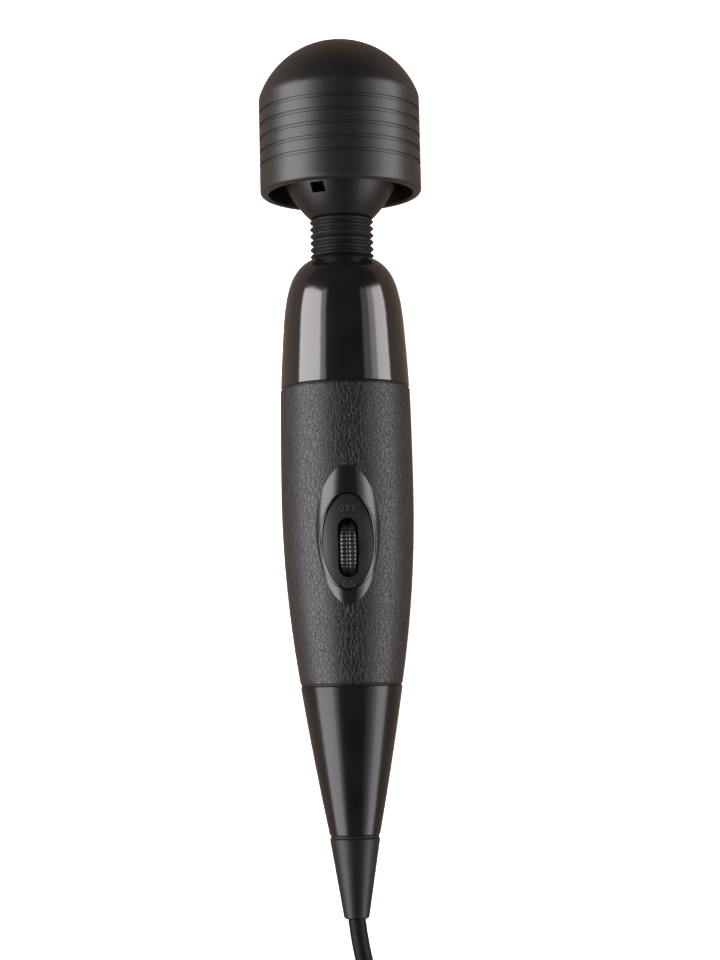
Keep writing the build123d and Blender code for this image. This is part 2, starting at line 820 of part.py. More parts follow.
# ---------------------------------------------------------------- free cord
LIE = CORD_RADIUS + 0.05
COIL_CENTRE = (-17.0, -256.0)
COIL_RADII = (32.2, 38.7, 45.2)
COIL_LAYER = 6.55
TOP_RADIUS = 35.45
TOP_HEIGHT = 16.45
TOP_START, TOP_STOP = 165.0, 250.0
TAIL_RADIUS = 22.0
PLUG_HEADING = -45.0
PLUG_HEIGHT = 20.3
TIE_THICK = 1.0
TIE_WIDTH = 10.0
TIE_ANGLE = 225.0

LEAD_ROUTE = [
    laid_point(0, 0, 0),
    (1.6, -179.5, 17.3),
    (7.5, -196.0, 11.5),
    (16.5, -214.0, 6.0),
    (24.8, -231.0, 3.6),
    (27.9, -244.0, LIE),
    (COIL_CENTRE[0] + COIL_RADII[-1], COIL_CENTRE[1], LIE),
]


def tail_point(angle, height, beyond=0.0):
    """A point on the cord's last bend, which turns in from the top of the coil towards the plug."""
    pivot = TOP_RADIUS - TAIL_RADIUS
    reach = TAIL_RADIUS / cos(radians(beyond))
    x = COIL_CENTRE[0] + pivot * cos(radians(TOP_START)) + reach * cos(radians(angle))
    y = COIL_CENTRE[1] + pivot * sin(radians(TOP_START)) + reach * sin(radians(angle))
    return (x, y, height)


TAIL_ROUTE = [
    tail_point(165, TOP_HEIGHT),
    tail_point(150, TOP_HEIGHT, 15),
    tail_point(120, 17.6, 15),
    tail_point(90, 19.2, 15),
    tail_point(60, PLUG_HEIGHT, 15),
    tail_point(45, PLUG_HEIGHT),
]


def corner_radii(points):
    """The largest arc that each corner of a route has room for."""
    vectors = [Vector(*point) for point in points]
    radii = []
    for a, b, c in zip(vectors, vectors[1:], vectors[2:]):
        turn = radians((b - a).get_angle(c - b))
        radii.append(0.45 * min((b - a).length, (c - b).length) / tan(turn / 2))
    return radii


def cord_tube(name, route):
    radii = corner_radii(route)
    path = FilletPolyline(*route, radius=radii)
    tube = sweep(Plane(origin=path @ 0, z_dir=path % 0) * Circle(CORD_RADIUS), path=path)
    expected = pi * CORD_RADIUS**2 * path.length
    print(name, "radii", [round(r) for r in radii], "length", round(path.length, 1))
    print(name, "volume", round(tube.volume), "and its section times its length", round(expected))
    return tube


def power_cord_lead():
    """The two stretches that aren't coiled: from the wand to the coil, and from the coil to the plug."""
    return group([cord_tube("lead", LEAD_ROUTE), cord_tube("tail", TAIL_ROUTE)])


def arc_bar(inner, outer, bottom, top, start=0.0, stop=360.0):
    """A bar of rectangular section, bent round the coil's centre."""
    section = Plane.XZ * Pos((inner + outer) / 2, (bottom + top) / 2) * Rectangle(outer - inner, top - bottom)
    return Pos(*COIL_CENTRE, 0) * Rot(0, 0, start) * revolve(section, Axis.Z, revolution_arc=stop - start)


def power_cord_coil():
    inner, outer = COIL_RADII[0] - CORD_RADIUS, COIL_RADII[-1] + CORD_RADIUS
    bottom = LIE - CORD_RADIUS
    second = bottom + 2 * COIL_LAYER
    coil = arc_bar(inner, outer, bottom, second)
    left, right = TOP_RADIUS - CORD_RADIUS, TOP_RADIUS + CORD_RADIUS
    coil += arc_bar(left, right, second - 1, TOP_HEIGHT + CORD_RADIUS, TOP_START, TOP_STOP)
    return coil - cord_tube("lead", LEAD_ROUTE) - cord_tie()


def cord_tie():
    inner, outer = COIL_RADII[0] - CORD_RADIUS, COIL_RADII[-1] + CORD_RADIUS
    low, high = LIE - CORD_RADIUS, TOP_HEIGHT + CORD_RADIUS + 0.2
    corner = low + 2 * COIL_LAYER + 0.2
    left, right = TOP_RADIUS - CORD_RADIUS, TOP_RADIUS + CORD_RADIUS
    t = TIE_THICK
    outside = Polyline(
        (inner - t, low), (outer + t, low), (outer + t, corner), (right, high + t), (left, high + t),
        (inner - t, corner), close=True
    )
    inside = Polyline(
        (inner, low + t), (outer, low + t), (outer, corner - 0.3), (right, high), (left, high),
        (inner, corner - 0.3), close=True
    )
    band = extrude(make_face(outside) - make_face(inside), TIE_WIDTH / 2, both=True)
    return Pos(*COIL_CENTRE, 0) * Rot(0, 0, TIE_ANGLE) * Rot(90, 0, 0) * band


# ---------------------------------------------------------------- plug
PLUG_RELIEF = 20.0
PLUG_LENGTH = 20.0
PLUG_WIDTH = 20.0
PLUG_THICK = 14.2
BLADE_SPACING = 12.7
BLADE_WIDTH = 6.3
BLADE_THICK = 1.5
BLADE_LENGTH = 16.0
BLADE_ROOT = 6.0


def place_plug(piece):
    """The plug is drawn along +X from the cord's end, and lies on the coil, in line with the cord."""
    return Pos(TAIL_ROUTE[-1]) * Rot(0, 0, PLUG_HEADING) * piece


def blades():
    start = PLUG_RELIEF + PLUG_LENGTH - BLADE_ROOT
    length = BLADE_ROOT + BLADE_LENGTH
    one = Pos(start + length / 2, BLADE_SPACING / 2, 0) * Box(length, BLADE_THICK, BLADE_WIDTH)
    one -= Pos(start + length - 3.5, BLADE_SPACING / 2, 0) * Rot(90, 0, 0) * Cylinder(1.5, 4)
    return [one, mirror(one, Plane.XZ)]


def plug_body():
    body = Pos(PLUG_RELIEF + PLUG_LENGTH / 2, 0, 0) * Box(PLUG_LENGTH, PLUG_WIDTH, PLUG_THICK)
    body = fillet(body.edges().filter_by(Axis.X), 3.0)
    body = chamfer(body.faces().sort_by(Axis.X)[0].edges(), 2.0)
    neck = Pos(PLUG_RELIEF / 2 + 0.4, 0, 0) * Rot(0, 90, 0) * Cone(CORD_RADIUS + 0.7, 5.4, PLUG_RELIEF - 0.8)
    for blade in blades():
        body -= blade
    return place_plug(body + neck)


def plug_blades():
    return group([place_plug(blade) for blade in blades()])


# ---------------------------------------------------------------- writing the pieces
WAND_PIECES = [
    head_cover, head_core, head_core_lid, head_lid_screws, head_bearings, head_bearing_inner_races,
    eccentric_shaft, eccentric_weight, weight_set_screw, shaft_clips, head_drive_coupling,
    neck_bellows, neck_support_spring, flexible_drive_shaft, lower_neck_clamp, upper_neck_clamp,
    motor_drive_coupling, front_collar, body_shell_upper, body_shell_lower, body_screws, grip_sleeve,
    tail_housing, strain_relief, switch_bezel, switch_plate, thumbwheel, wheel_axle, wheel_bracket,
    speed_control, control_board, suppression_capacitor, triac, heat_sink, terminal_block,
    internal_wires, motor_can, stator_core, field_windings, motor_rear_bracket, motor_front_bracket,
    motor_bearings, motor_bearing_inner_races, motor_shaft, armature_core, armature_windings,
    commutator, brush_holders, carbon_brushes, brush_springs, cooling_fan, motor_mount_rings,
    cord_anchored_end, cord_clamp, cord_clamp_screws,
]
TABLE_PIECES = [power_cord_lead, power_cord_coil, cord_tie, plug_body, plug_blades]

os.makedirs("parts", exist_ok=True)
for make in WAND_PIECES:
    export_step(lay_down(make()), f"parts/{make.__name__}.step")
for make in TABLE_PIECES:
    export_step(make(), f"parts/{make.__name__}.step")
print("tilt", round(degrees(TILT), 4), "lift", round(LIFT, 4), "middle", round(MIDDLE, 4))
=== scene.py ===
import json
import math

import bmesh
import bpy
import numpy as np
from mathutils import Matrix, Vector, noise


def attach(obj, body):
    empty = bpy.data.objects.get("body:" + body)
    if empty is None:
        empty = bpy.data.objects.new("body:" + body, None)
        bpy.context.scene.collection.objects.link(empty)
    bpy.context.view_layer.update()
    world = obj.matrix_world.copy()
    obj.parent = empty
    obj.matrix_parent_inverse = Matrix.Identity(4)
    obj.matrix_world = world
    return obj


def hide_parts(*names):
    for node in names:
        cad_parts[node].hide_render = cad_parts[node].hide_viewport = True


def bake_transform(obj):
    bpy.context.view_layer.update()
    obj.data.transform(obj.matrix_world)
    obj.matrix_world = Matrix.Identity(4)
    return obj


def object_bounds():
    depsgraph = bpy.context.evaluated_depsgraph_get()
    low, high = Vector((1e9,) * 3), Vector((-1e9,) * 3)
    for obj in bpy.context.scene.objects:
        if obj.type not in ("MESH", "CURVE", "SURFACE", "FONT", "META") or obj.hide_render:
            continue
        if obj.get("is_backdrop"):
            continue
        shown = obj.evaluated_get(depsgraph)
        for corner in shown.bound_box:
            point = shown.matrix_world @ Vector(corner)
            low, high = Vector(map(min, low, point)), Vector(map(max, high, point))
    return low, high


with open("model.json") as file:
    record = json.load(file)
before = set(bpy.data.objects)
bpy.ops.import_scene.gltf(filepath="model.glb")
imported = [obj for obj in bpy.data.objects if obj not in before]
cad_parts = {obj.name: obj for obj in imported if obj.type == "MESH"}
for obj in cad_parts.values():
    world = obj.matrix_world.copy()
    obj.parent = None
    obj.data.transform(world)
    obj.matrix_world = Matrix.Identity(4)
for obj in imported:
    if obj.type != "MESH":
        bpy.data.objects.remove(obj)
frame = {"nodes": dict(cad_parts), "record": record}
cad_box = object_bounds()

# ---------------------------------------------------------------- the wand's own frame
# X across, Y along the axis from the tail end, Z up through the switch. Stations are distances along Y.
MM = 0.001
JOINTS = {joint["name"]: joint for joint in frame["record"]["behaviour"]["joints"]}
ALONG = Vector(JOINTS["motor_spin"]["axis"]).normalized()
ACROSS = Vector((1, 0, 0))
UP = ACROSS.cross(ALONG)
MOTOR_STATION = 183.0 * MM
TAIL_END = Vector(JOINTS["motor_spin"]["pos_m"]) - ALONG * MOTOR_STATION
WAND = Matrix(
    (
        (ACROSS.x, ALONG.x, UP.x, TAIL_END.x),
        (ACROSS.y, ALONG.y, UP.y, TAIL_END.y),
        (ACROSS.z, ALONG.z, UP.z, TAIL_END.z),
        (0, 0, 0, 1),
    )
)


def wand_point(x, station, height):
    return WAND @ Vector((x, station, height))


# ---------------------------------------------------------------- camera
CAMERA_DISTANCE = 813.7 * MM
CAMERA_STATION = 83.5 * MM
CAMERA_SIDE = 4.8 * MM
CAMERA_PITCH = math.radians(5.5)
CAMERA_ROLL = math.radians(1.3)
LENS = 81.8


def make_camera():
    data = bpy.data.cameras.new("camera")
    data.lens = LENS
    data.sensor_width = 36
    data.clip_start = 0.01
    camera = bpy.data.objects.new("camera", data)
    bpy.context.collection.objects.link(camera)
    forward = -UP * math.cos(CAMERA_PITCH) + ALONG * math.sin(CAMERA_PITCH)
    level_up = ALONG * math.cos(CAMERA_PITCH) + UP * math.sin(CAMERA_PITCH)
    up = level_up * math.cos(CAMERA_ROLL) + ACROSS * math.sin(CAMERA_ROLL)
    right = forward.cross(up)
    place = Matrix((right, up, -forward)).transposed().to_4x4()
    place.translation = wand_point(CAMERA_SIDE, CAMERA_STATION, CAMERA_DISTANCE)
    camera.matrix_world = place
    bpy.context.scene.camera = camera


# ---------------------------------------------------------------- node helpers
class Shader:
    """A material's node tree, written as short calls."""

    def __init__(self, name, colour, roughness, **sockets):
        self.material = bpy.data.materials.new(name)
        self.material.use_nodes = True
        self.tree = self.material.node_tree
        self.surface = self.tree.nodes["Principled BSDF"]
        self.surface.inputs["Base Color"].default_value = (*colour, 1)
        self.surface.inputs["Roughness"].default_value = roughness
        for socket, value in sockets.items():
            self.surface.inputs[socket.replace("_", " ")].default_value = value
        self.place = self.node("ShaderNodeTexCoord").outputs["Object"]

    def node(self, kind, **settings):
        node = self.tree.nodes.new(kind)
        for name, value in settings.items():
            setattr(node, name, value)
        return node

    def link(self, source, target):
        self.tree.links.new(source, target)

    def stretched(self, scale=(1, 1, 1), turn=(0, 0, 0), vector=None):
        mapping = self.node("ShaderNodeMapping")
        mapping.inputs["Scale"].default_value = scale
        mapping.inputs["Rotation"].default_value = turn
        self.link(vector or self.place, mapping.inputs["Vector"])
        return mapping.outputs["Vector"]

    def warped(self, scale, amount):
        """The object's own coordinates, pushed about by a noise."""
        texture = self.node("ShaderNodeTexNoise")
        texture.inputs["Scale"].default_value = scale
        self.link(self.place, texture.inputs["Vector"])
        push = self.node("ShaderNodeVectorMath", operation="SCALE")
        push.inputs["Scale"].default_value = amount
        self.link(texture.outputs["Color"], push.inputs[0])
        total = self.node("ShaderNodeVectorMath", operation="ADD")
        self.link(self.place, total.inputs[0])
        self.link(push.outputs["Vector"], total.inputs[1])
        return total.outputs["Vector"]

    def noise(self, scale, detail=3.0, roughness=0.5, vector=None):
        texture = self.node("ShaderNodeTexNoise")
        texture.inputs["Scale"].default_value = scale
        texture.inputs["Detail"].default_value = detail
        texture.inputs["Roughness"].default_value = roughness
        self.link(vector or self.place, texture.inputs["Vector"])
        return texture.outputs["Fac"]

    def voronoi(self, scale, feature="DISTANCE_TO_EDGE", vector=None):
        texture = self.node("ShaderNodeTexVoronoi", feature=feature)
        texture.inputs["Scale"].default_value = scale
        self.link(vector or self.place, texture.inputs["Vector"])
        return texture.outputs["Distance"]

    def spread(self, value, low, high, start=0.0, stop=1.0):
        node = self.node("ShaderNodeMapRange")
        for socket, number in (("From Min", start), ("From Max", stop), ("To Min", low), ("To Max", high)):
            node.inputs[socket].default_value = number
        self.link(value, node.inputs["Value"])
        return node.outputs["Result"]

    def math(self, operation, a, b=0.0):
        node = self.node("ShaderNodeMath", operation=operation)
        for socket, value in zip(node.inputs, (a, b)):
            if isinstance(value, float):
                socket.default_value = value
            else:
                self.link(value, socket)
        return node.outputs["Value"]

    def colours(self, value, *stops):
        ramp = self.node("ShaderNodeValToRGB")
        elements = ramp.color_ramp.elements
        while len(elements) < len(stops):
            elements.new(0.5)
        for element, (position, colour) in zip(elements, stops):
            element.position = position
            element.color = (*colour, 1)
        self.link(value, ramp.inputs["Fac"])
        return ramp.outputs["Color"]

    def set_colour(self, value):
        self.link(value, self.surface.inputs["Base Color"])

    def set_roughness(self, value):
        self.link(value, self.surface.inputs["Roughness"])

    def bump(self, value, distance, strength=1.0):
        node = self.node("ShaderNodeBump")
        node.inputs["Distance"].default_value = distance
        node.inputs["Strength"].default_value = strength
        self.link(value, node.inputs["Height"])
        previous = self.surface.inputs["Normal"]
        if previous.is_linked:
            self.link(previous.links[0].from_socket, node.inputs["Normal"])
        self.link(node.outputs["Normal"], previous)


def grey(level, warmth=0.0):
    return (level * (1 + warmth), level, level * (1 - warmth))


# ---------------------------------------------------------------- materials
def soft_touch():
    look = Shader("soft touch rubber", grey(0.009, 0.02), 0.38)
    look.set_colour(look.colours(look.noise(90, 4), (0.3, grey(0.0075, 0.02)), (0.7, grey(0.0105, 0.02))))
    look.set_roughness(look.spread(look.noise(140, 3), 0.35, 0.43))
    look.bump(look.noise(2600, 2), 0.00002, 0.5)
    return look.material


def core_plastic():
    look = Shader("satin core plastic", grey(0.006, 0.04), 0.4, Specular_IOR_Level=0.3)
    look.set_colour(look.colours(look.noise(120, 4), (0.3, grey(0.005, 0.05)), (0.7, grey(0.0075, 0.05))))
    look.set_roughness(look.spread(look.noise(260, 3), 0.36, 0.44))
    look.bump(look.noise(1800, 2), 0.000015, 0.4)
    return look.material


def black_rubber():
    look = Shader("neck rubber", grey(0.0055), 0.5, Specular_IOR_Level=0.3)
    look.set_colour(look.colours(look.noise(220, 4), (0.3, grey(0.0045)), (0.75, grey(0.008))))
    look.set_roughness(look.spread(look.noise(400, 3), 0.42, 0.58))
    look.bump(look.noise(1500, 3), 0.00003, 0.5)
    return look.material


def piano_black():
    look = Shader("piano black", grey(0.008), 0.12, Specular_IOR_Level=0.75)
    look.set_colour(look.colours(look.noise(60, 3), (0.3, grey(0.0065)), (0.7, grey(0.0095))))
    look.set_roughness(look.spread(look.noise(300, 4), 0.1, 0.14))
    look.bump(look.noise(45, 2), 0.00002, 0.15)
    return look.material


def bezel_black():
    look = Shader("bezel black", grey(0.008), 0.22)
    look.set_colour(look.colours(look.noise(80, 3), (0.3, grey(0.0065)), (0.7, grey(0.0095))))
    look.set_roughness(look.spread(look.noise(400, 4), 0.19, 0.25))
    look.bump(look.noise(60, 2), 0.00002, 0.15)
    return look.material


def satin_black():
    look = Shader("satin black", grey(0.007), 0.2, Specular_IOR_Level=0.32)
    look.set_colour(look.colours(look.noise(70, 3), (0.3, grey(0.0055)), (0.7, grey(0.0085))))
    look.set_roughness(look.spread(look.noise(500, 4), 0.18, 0.24))
    look.bump(look.noise(2200, 2), 0.00001, 0.35)
    return look.material


def relief_plastic():
    look = Shader("soft strain relief", grey(0.006), 0.4, Specular_IOR_Level=0.28)
    look.set_colour(look.colours(look.noise(110, 3), (0.3, grey(0.0055)), (0.7, grey(0.009))))
    look.set_roughness(look.spread(look.noise(600, 3), 0.36, 0.46))
    look.bump(look.noise(2400, 2), 0.00002, 0.4)
    return look.material


def plate_plastic():
    look = Shader("switch plate plastic", grey(0.011, -0.03), 0.36)
    look.set_colour(look.colours(look.noise(150, 3), (0.3, grey(0.0095, -0.03)), (0.7, grey(0.0125, -0.03))))
    look.set_roughness(look.spread(look.noise(700, 3), 0.32, 0.42))
    look.bump(look.noise(4200, 2), 0.00001, 0.5)
    return look.material


def letter_plastic():
    look = Shader("raised letters", grey(0.045, -0.03), 0.4)
    look.set_colour(look.colours(look.noise(500, 3), (0.3, grey(0.038, -0.03)), (0.7, grey(0.052, -0.03))))
    look.set_roughness(look.spread(look.noise(900, 3), 0.34, 0.46))
    return look.material


def wheel_plastic():
    look = Shader("thumbwheel plastic", grey(0.02), 0.24)
    look.set_colour(look.colours(look.noise(300, 3), (0.3, grey(0.015)), (0.7, grey(0.026))))
    look.set_roughness(look.spread(look.noise(900, 3), 0.18, 0.32))
    return look.material


def grip_leather():
    look = Shader("grip leather", grey(0.01), 0.4, Specular_IOR_Level=0.42)
    broad = look.math("MULTIPLY", look.noise(160, 4), 0.6)
    narrow = look.math("MULTIPLY", look.noise(1400, 3), 0.4)
    tone = look.math("ADD", broad, narrow)
    slanted = look.stretched((1.25, 0.85, 1.1), (0, 0, math.radians(35)), look.warped(330, 0.0016))
    crossing = look.stretched((0.85, 1.2, 1.0), (0, 0, math.radians(20)), look.warped(520, 0.0012))
    coarse = look.spread(look.voronoi(560, vector=slanted), 0, 1, 0, 0.08)
    fine = look.spread(look.voronoi(900, vector=crossing), 0, 1, 0, 0.1)
    softened = look.math("ADD", look.math("MULTIPLY", fine, 0.35), 0.65)
    creases = look.math("MULTIPLY", coarse, softened)
    # Painted shade: the base colour is darkened inside the creases, on top of the random tone.
    painted_crease_shade = look.math("ADD", look.math("MULTIPLY", creases, 0.55), 0.45)
    shade = look.math("MULTIPLY", tone, painted_crease_shade)
    look.set_colour(look.colours(shade, (0.12, grey(0.0035)), (0.6, grey(0.0095))))
    look.set_roughness(look.spread(creases, 0.5, 0.36))
    look.bump(creases, 0.00008, 0.9)
    look.bump(look.noise(5200, 2), 0.00001, 0.5)
    return look.material


def cord_jacket():
    look = Shader("cord jacket", grey(0.004), 0.5, Specular_IOR_Level=0.12)
    look.set_colour(look.colours(look.noise(130, 3), (0.3, grey(0.003)), (0.7, grey(0.0055))))
    look.set_roughness(look.spread(look.noise(500, 3), 0.42, 0.56))
    look.bump(look.noise(1600, 2), 0.00002, 0.5)
    return look.material


def woven_tie():
    look = Shader("woven tie", grey(0.02), 0.75, Sheen_Weight=0.3)
    wave = look.node("ShaderNodeTexWave", bands_direction="Z")
    wave.inputs["Scale"].default_value = 420
    look.link(look.place, wave.inputs["Vector"])
    look.set_colour(look.colours(wave.outputs["Fac"], (0.2, grey(0.012)), (0.8, grey(0.032))))
    look.bump(wave.outputs["Fac"], 0.0001, 0.6)
    return look.material


def metal(name, colour, low, high, scale=400.0):
    look = Shader(name, colour, (low + high) / 2, Metallic=1.0)
    streaks = look.noise(scale, 4, 0.6, look.stretched((1, 6, 1)))
    darker = tuple(0.75 * c for c in colour)
    look.set_colour(look.colours(streaks, (0.25, darker), (0.75, colour)))
    look.set_roughness(look.spread(streaks, low, high, 0.3, 0.7))
    return look.material


def moulded(name, colour, low=0.4, high=0.55):
    look = Shader(name, colour, (low + high) / 2)
    darker = tuple(0.8 * c for c in colour)
    look.set_colour(look.colours(look.noise(150, 4), (0.3, darker), (0.7, colour)))
    look.set_roughness(look.spread(look.noise(500, 3), low, high))
    look.bump(look.noise(1500, 2), 0.00002, 0.4)
    return look.material


def wound_copper():
    look = Shader("wound copper", (0.55, 0.22, 0.09), 0.3, Metallic=0.85)
    wave = look.node("ShaderNodeTexWave", bands_direction="Y")
    wave.inputs["Scale"].default_value = 500
    look.link(look.place, wave.inputs["Vector"])
    look.set_colour(look.colours(wave.outputs["Fac"], (0.1, (0.25, 0.09, 0.04)), (0.6, (0.62, 0.26, 0.1))))
    look.bump(wave.outputs["Fac"], 0.0002, 0.8)
    return look.material


def laminations():
    look = Shader("stamped laminations", grey(0.12), 0.4, Metallic=0.9)
    wave = look.node("ShaderNodeTexWave", bands_direction="Y")
    wave.inputs["Scale"].default_value = 320
    look.link(look.place, wave.inputs["Vector"])
    look.set_colour(look.colours(wave.outputs["Fac"], (0.2, grey(0.05)), (0.7, grey(0.2))))
    look.bump(wave.outputs["Fac"], 0.0001, 0.6)
    return look.material


# ---------------------------------------------------------------- mesh helpers
def new_piece(name, mesh, material, body, nodes):
    """A piece that rides on a body, or on none when no body is given."""
    piece = bpy.data.objects.new(name, mesh)
    bpy.context.collection.objects.link(piece)
    mesh.materials.append(material)
    if body:
        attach(piece, body)
    if nodes:
        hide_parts(*nodes)
    return piece


def grid_mesh(name, rings):
    """A smooth mesh from rings of points, each joined to the next; every ring closes on itself."""
    count = len(rings[0])
    vertices = [tuple(point) for ring in rings for point in ring]
    faces = []
    for i in range(len(rings) - 1):
        for j in range(count):
            k = (j + 1) % count
            faces.append((i * count + j, i * count + k, (i + 1) * count + k, (i + 1) * count + j))
    mesh = bpy.data.meshes.new(name)
    mesh.from_pydata(vertices, [], faces)
    mesh.shade_smooth()
    return mesh


def lathe(name, outline, count):
    """A closed outline of (radius, station), in metres, turned about the wand's axis."""
    rings = []
    for radius, station in outline + [outline[0]]:
        ring = []
        for j in range(count):
            angle = 2 * math.pi * j / count
            ring.append(wand_point(radius * math.sin(angle), station, radius * math.cos(angle)))
        rings.append(ring)
    mesh = grid_mesh(name, rings)
    merge(mesh, 1e-7)
    return mesh


def merge(mesh, distance):
    work = bmesh.new()
    work.from_mesh(mesh)
    bmesh.ops.remove_doubles(work, verts=work.verts, dist=distance)
    bmesh.ops.recalc_face_normals(work, faces=work.faces)
    work.to_mesh(mesh)
    work.free()


# ---------------------------------------------------------------- neck bellows
BELLOWS_VALLEY = 10.45 * MM
BELLOWS_SLEEVE = 10.8 * MM
BELLOWS_RADIUS = 12.0 * MM
BELLOWS_BORE = 9.4 * MM
BELLOWS_START = 234.0 * MM
BELLOWS_END = 270.0 * MM
BELLOWS_LAST_TIP = 259.95 * MM
BELLOWS_PITCH = 2.62 * MM
BELLOWS_RINGS = 6
NECK_SPLIT = BELLOWS_LAST_TIP - 2.5 * BELLOWS_PITCH
BEND_REACH = 3.4 * MM


def bellows_profile(low, high):
    """The bellows' outer line between two stations: sharp valleys and rounded tips."""
    first = BELLOWS_LAST_TIP - (BELLOWS_RINGS - 1) * BELLOWS_PITCH
    depth = BELLOWS_RADIUS - BELLOWS_VALLEY
    steps = 16
    line = [(BELLOWS_SLEEVE, BELLOWS_START)]
    for i in range(BELLOWS_RINGS):
        tip = first + i * BELLOWS_PITCH
        for k in range(steps + 1):
            share = -1 + 2 * k / steps
            height = 1.06 - math.hypot(abs(share), 0.06)
            line.append((BELLOWS_VALLEY + depth * height, tip + share * BELLOWS_PITCH / 2))
    line.append((BELLOWS_SLEEVE, BELLOWS_END))
    return [(radius, station) for radius, station in line if low - 1e-9 <= station <= high + 1e-9]


def neck_halves():
    """The neck nods at its lower joint and sways at its upper one: a piece that bends is in two halves."""
    nod = Vector(JOINTS["neck_nod"]["pos_m"])
    sway = Vector(JOINTS["neck_sway"]["pos_m"])
    return (
        ("lower", BELLOWS_START, NECK_SPLIT, "handle", "neck_link", nod),
        ("upper", NECK_SPLIT, BELLOWS_END, "neck_link", "head", sway),
    )


def bend(piece, near_body, far_body, pivot):
    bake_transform(piece)


def make_bellows(material):
    for half, low, high, near_body, far_body, pivot in neck_halves():
        line = bellows_profile(low, high)
        bore = [(BELLOWS_BORE, line[-1][1] - k * (line[-1][1] - line[0][1]) / 12) for k in range(13)]
        name = "bellows_" + half
        mesh = lathe(name, line + bore, 128)
        piece = new_piece(name, mesh, material, None, ["neck_bellows"])
        bend(piece, near_body, far_body, pivot)


def split_bending_node(node, material):
    """Two halves of a CAD piece inside the neck, cut finely enough to bend."""
    source = frame["nodes"][node].data
    for half, low, high, near_body, far_body, pivot in neck_halves():
        work = bmesh.new()
        work.from_mesh(source)
        for cut in [pivot + ALONG * BEND_REACH * share for share in (-1, -0.6, -0.2, 0.2, 0.6, 1)]:
            everything = work.verts[:] + work.edges[:] + work.faces[:]
            bmesh.ops.bisect_plane(work, geom=everything, plane_co=cut, plane_no=ALONG)
        everything = work.verts[:] + work.edges[:] + work.faces[:]
        lower = half == "lower"
        bmesh.ops.bisect_plane(
            work, geom=everything, plane_co=wand_point(0, NECK_SPLIT, 0), plane_no=ALONG,
            clear_outer=lower, clear_inner=not lower
        )
        mesh = bpy.data.meshes.new(node + "_" + half)
        work.to_mesh(mesh)
        work.free()
        mesh.shade_smooth()
        piece = new_piece(node + "_" + half, mesh, material, None, [node])
        bend(piece, near_body, far_body, pivot)


# ---------------------------------------------------------------- leather grip
GRIP_START = 85.8 * MM
GRIP_END = 196.0 * MM
GRIP_WIDEST = 24.75 * MM
GRIP_WIDEST_AT = 157.0 * MM
GRIP_TAIL_CURVE = 437.0 * MM
GRIP_HEAD_CURVE = 1617.0 * MM
SLEEVE = 1.6 * MM
GRAIN_DEPTH = 0.05 * MM
GRAIN_FADE = 0.8 * MM
EDGE_ROLL = 0.4 * MM
OUTSIDE_GRID = (440, 310)
INSIDE_GRID = (120, 110)


def grip_radius(station):
    curve = GRIP_TAIL_CURVE if station < GRIP_WIDEST_AT else GRIP_HEAD_CURVE
    return GRIP_WIDEST - curve + math.sqrt(curve**2 - (station - GRIP_WIDEST_AT) ** 2)


MOUND_AXIS = 13.5 * MM
MOUND_PROFILE = ((109.0, 7.0), (119.8, 10.9), (136.5, 13.9), (150.0, 13.9), (161.0, 12.2), (171.0, 9.6))
MOUND_OVERLAP = 0.9 * MM


def mound_half_width(station):
    """Half the width of the switch's mound where it meets the grip, and 0 beyond its ends."""
    places = [place * MM for place, _ in MOUND_PROFILE]
    if not places[0] < station < places[-1]:
        return 0
    mound = float(np.interp(station, places, [radius * MM for _, radius in MOUND_PROFILE]))
    grip = grip_radius(station)
    if MOUND_AXIS + mound <= grip:
        return 0
    height = (grip**2 - mound**2 + MOUND_AXIS**2) / (2 * MOUND_AXIS)
    return math.sqrt(grip**2 - height**2)


def sleeve_side(rounds, rows, start, end, radius_at):
    """Rings round the grip, and its faces, less those that the switch's mound covers."""
    vertices, faces = [], []
    for i in range(rows + 1):
        station = start + (end - start) * i / rows
        for j in range(rounds):
            angle = 2 * math.pi * j / rounds
            radius = radius_at(station, angle)
            vertices.append(wand_point(radius * math.sin(angle), station, radius * math.cos(angle)))
    for i in range(rows):
        station = start + (end - start) * (i + 0.5) / rows
        covered = mound_half_width(station) - MOUND_OVERLAP
        for j in range(rounds):
            k = (j + 1) % rounds
            angle = 2 * math.pi * (j + 0.5) / rounds
            if math.cos(angle) > 0 and abs(grip_radius(station) * math.sin(angle)) < covered:
                continue
            faces.append((i * rounds + j, i * rounds + k, (i + 1) * rounds + k, (i + 1) * rounds + j))
    return vertices, faces


def make_grip(material):
    def outside(station, angle):
        edge = min(station - GRIP_START, GRIP_END - station)
        roll = SLEEVE * 0.16 * (1 - min(edge / EDGE_ROLL, 1)) ** 2
        radius = grip_radius(station)
        bare = Vector((radius * math.sin(angle), station, radius * math.cos(angle)))
        return radius - roll + leather_height(bare) * GRAIN_DEPTH * min(edge / GRAIN_FADE, 1)

    def inside(station, angle):
        return grip_radius(station) - SLEEVE + 0.02 * MM

    outer = sleeve_side(*OUTSIDE_GRID, GRIP_START, GRIP_END, outside)
    inner = sleeve_side(*INSIDE_GRID, GRIP_END, GRIP_START, inside)
    vertices = outer[0] + inner[0]
    shift = len(outer[0])
    faces = outer[1] + [tuple(index + shift for index in face) for face in inner[1]]
    mesh = bpy.data.meshes.new("grip_leather_sleeve")
    mesh.from_pydata(vertices, [], faces)
    mesh.shade_smooth()
    return new_piece("grip_leather_sleeve", mesh, material, "handle", ["grip_sleeve"])


def leather_height(point):
    """Creased leather: cells of two sizes parted by narrow creases, about -1 in a crease and 0 on top."""
    warp = Vector(noise.noise_vector(point * 260)) * 0.0011
    coarse = (point + warp) * 560
    fine = (point + warp * 0.6) * 1000
    creases = 0
    for spot, weight in ((coarse, 0.7), (fine, 0.3)):
        distances, _ = noise.voronoi(spot)
        gap = distances[1] - distances[0]
        creases -= weight * (1 - min(gap / 0.35, 1)) ** 2
    return creases + 0.25 * noise.noise(point * 700)


